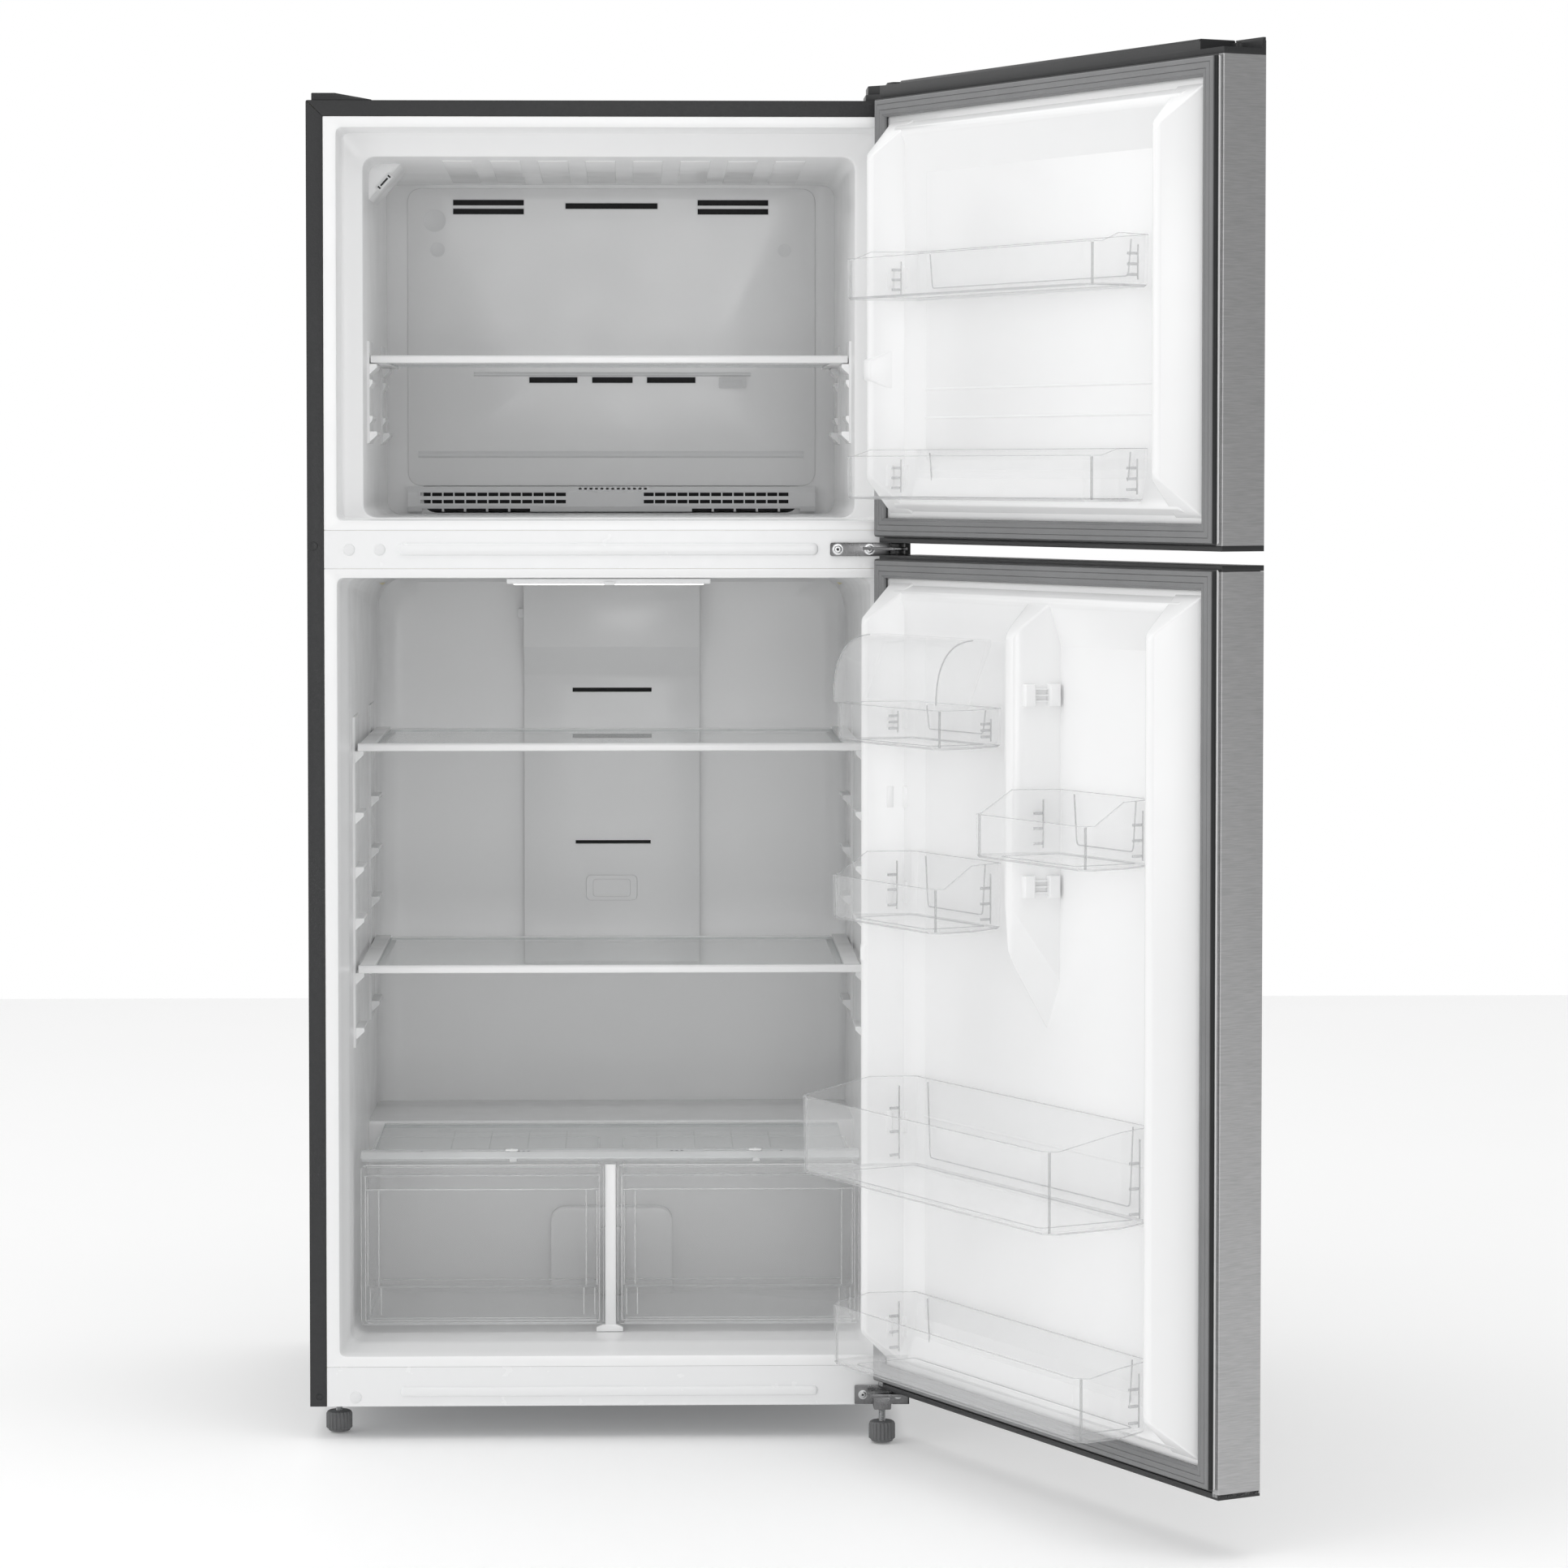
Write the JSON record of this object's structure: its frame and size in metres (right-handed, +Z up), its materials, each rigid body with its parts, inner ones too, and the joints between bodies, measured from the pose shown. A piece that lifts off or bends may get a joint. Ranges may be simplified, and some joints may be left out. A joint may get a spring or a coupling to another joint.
{
  "type": "top freezer refrigerator",
  "caption": "Upright refrigerator with a freezer compartment on top, two right-hinged doors standing open, glass shelves, clear drawers and clear door bins.",
  "frame": {"origin": "on the floor, under the middle of the bounding box of the whole appliance with both doors open", "axes": "+X to the right of someone facing the cabinet's front, +Y to the back of the cabinet, +Z up"},
  "size_m": [1.1128, 1.3828, 1.702],
  "materials": {
    "paint": "satin",
    "steel": "satin",
    "white_plastic": "gloss",
    "trim_steel": "gloss",
    "grille": "satin",
    "foam": "matte",
    "gasket": "matte",
    "cap": "satin",
    "zinc": "satin",
    "clear": "gloss",
    "glass": "gloss",
    "light": "satin",
    "aluminium": "satin",
    "black_metal": "satin",
    "knob": "satin",
    "roller": "matte"
  },
  "bodies": {
    "cabinet": {"cabinet_shell": "paint", "freezer_liner": "white_plastic", "fridge_liner": "white_plastic", "insulation_foam": "foam", "base_pan": "zinc", "rear_panel": "zinc", "compressor_cover": "paint", "mullion_cover": "trim_steel", "bottom_rail": "trim_steel", "top_hinge_bracket": "zinc", "top_hinge_cover": "cap", "top_left_cover": "cap", "middle_hinge_bracket": "zinc", "bottom_hinge_bracket": "zinc", "evaporator_cover": "white_plastic", "return_grille": "grille", "evaporator_coil": "aluminium", "fan_motor": "cap", "compressor": "black_metal", "condenser_coil": "black_metal", "duct_panel": "white_plastic", "ceiling_light": "light", "crisper_post": "white_plastic", "crisper_cover_frame": "white_plastic", "crisper_cover_glass": "glass"},
    "freezer_door": {"freezer_door_skin": "steel", "freezer_door_foam": "foam", "freezer_door_liner": "white_plastic", "freezer_door_gasket": "gasket", "freezer_door_top_cap": "cap", "freezer_door_bottom_cap": "cap"},
    "fridge_door": {"fridge_door_skin": "steel", "fridge_door_foam": "foam", "fridge_door_liner": "white_plastic", "fridge_door_gasket": "gasket", "fridge_door_top_cap": "cap", "fridge_door_bottom_cap": "cap"},
    "freezer_shelf": {"freezer_shelf_frame": "white_plastic", "freezer_shelf_glass": "glass"},
    "upper_shelf": {"upper_shelf_frame": "white_plastic", "upper_shelf_glass": "glass"},
    "lower_shelf": {"lower_shelf_frame": "white_plastic", "lower_shelf_glass": "glass"},
    "left_crisper": {"left_crisper": "clear"},
    "right_crisper": {"right_crisper": "clear"},
    "left_humidity_slider": {"left_humidity_slider": "grille"},
    "right_humidity_slider": {"right_humidity_slider": "grille"},
    "freezer_upper_bin": {"freezer_upper_bin": "clear"},
    "freezer_lower_bin": {"freezer_lower_bin": "clear"},
    "dairy_bin": {"dairy_bin": "clear"},
    "dairy_lid": {"dairy_lid": "clear"},
    "small_left_bin": {"small_left_bin": "clear"},
    "small_right_bin": {"small_right_bin": "clear"},
    "upper_bottle_bin": {"upper_bottle_bin": "clear"},
    "lower_bottle_bin": {"lower_bottle_bin": "clear"},
    "left_foot": {"left_foot": "knob"},
    "right_foot": {"right_foot": "knob"},
    "left_roller": {"left_roller": "roller"},
    "right_roller": {"right_roller": "roller"},
    "fan_blade": {"fan_blade": "roller"}
  },
  "joints": [
    {"name": "freezer_door_hinge", "type": "hinge", "parent": "cabinet", "child": "freezer_door", "pos_m": [0.18157, -0.03058, 1.4], "axis": [0, 0, 1], "range_deg": [-117.5, 6]},
    {"name": "fridge_door_hinge", "type": "hinge", "parent": "cabinet", "child": "fridge_door", "pos_m": [0.18157, -0.03058, 0.6], "axis": [0, 0, 1], "range_deg": [-117.5, 6]},
    {"name": "freezer_shelf_slide", "type": "slide", "parent": "cabinet", "child": "freezer_shelf", "axis": [0, -1, 0], "range_m": [0, 0.15]},
    {"name": "upper_shelf_slide", "type": "slide", "parent": "cabinet", "child": "upper_shelf", "axis": [0, -1, 0], "range_m": [0, 0.15]},
    {"name": "lower_shelf_slide", "type": "slide", "parent": "cabinet", "child": "lower_shelf", "axis": [0, -1, 0], "range_m": [0, 0.15]},
    {"name": "left_crisper_slide", "type": "slide", "parent": "cabinet", "child": "left_crisper", "axis": [0, -1, 0], "range_m": [0, 0.2]},
    {"name": "right_crisper_slide", "type": "slide", "parent": "cabinet", "child": "right_crisper", "axis": [0, -1, 0], "range_m": [0, 0.2]},
    {"name": "left_humidity_slide", "type": "slide", "parent": "cabinet", "child": "left_humidity_slider", "axis": [1, 0, 0], "range_m": [-0.055, 0]},
    {"name": "right_humidity_slide", "type": "slide", "parent": "cabinet", "child": "right_humidity_slider", "axis": [1, 0, 0], "range_m": [-0.055, 0]},
    {"name": "freezer_upper_bin_lift", "type": "slide", "parent": "freezer_door", "child": "freezer_upper_bin", "axis": [0, 0, 1], "range_m": [0, 0.03]},
    {"name": "freezer_lower_bin_lift", "type": "slide", "parent": "freezer_door", "child": "freezer_lower_bin", "axis": [0, 0, 1], "range_m": [0, 0.03]},
    {"name": "dairy_bin_lift", "type": "slide", "parent": "fridge_door", "child": "dairy_bin", "axis": [0, 0, 1], "range_m": [0, 0.03]},
    {"name": "small_left_bin_lift", "type": "slide", "parent": "fridge_door", "child": "small_left_bin", "axis": [0, 0, 1], "range_m": [0, 0.03]},
    {"name": "small_right_bin_lift", "type": "slide", "parent": "fridge_door", "child": "small_right_bin", "axis": [0, 0, 1], "range_m": [0, 0.03]},
    {"name": "upper_bottle_bin_lift", "type": "slide", "parent": "fridge_door", "child": "upper_bottle_bin", "axis": [0, 0, 1], "range_m": [0, 0.03]},
    {"name": "lower_bottle_bin_lift", "type": "slide", "parent": "fridge_door", "child": "lower_bottle_bin", "axis": [0, 0, 1], "range_m": [0, 0.03]},
    {"name": "dairy_lid_hinge", "type": "hinge", "parent": "dairy_bin", "child": "dairy_lid", "pos_m": [0.22087, -0.21869, 1.014], "axis": [-0.4617, 0.887, 0], "range_deg": [0, 80]},
    {"name": "left_foot_screw", "type": "hinge", "parent": "cabinet", "child": "left_foot", "pos_m": [-0.52303, 0.05542, 0.014], "axis": [0, 0, 1], "continuous": true},
    {"name": "right_foot_screw", "type": "hinge", "parent": "cabinet", "child": "right_foot", "pos_m": [0.16357, -0.02558, 0.014], "axis": [0, 0, 1], "continuous": true},
    {"name": "left_roller_axle", "type": "hinge", "parent": "cabinet", "child": "left_roller", "pos_m": [-0.50843, 0.64142, 0.02], "axis": [1, 0, 0], "continuous": true},
    {"name": "right_roller_axle", "type": "hinge", "parent": "cabinet", "child": "right_roller", "pos_m": [0.15157, 0.64142, 0.02], "axis": [1, 0, 0], "continuous": true},
    {"name": "fan_spin", "type": "hinge", "parent": "cabinet", "child": "fan_blade", "pos_m": [-0.17743, 0.55042, 1.47], "axis": [0, 1, 0], "continuous": true}
  ]
}
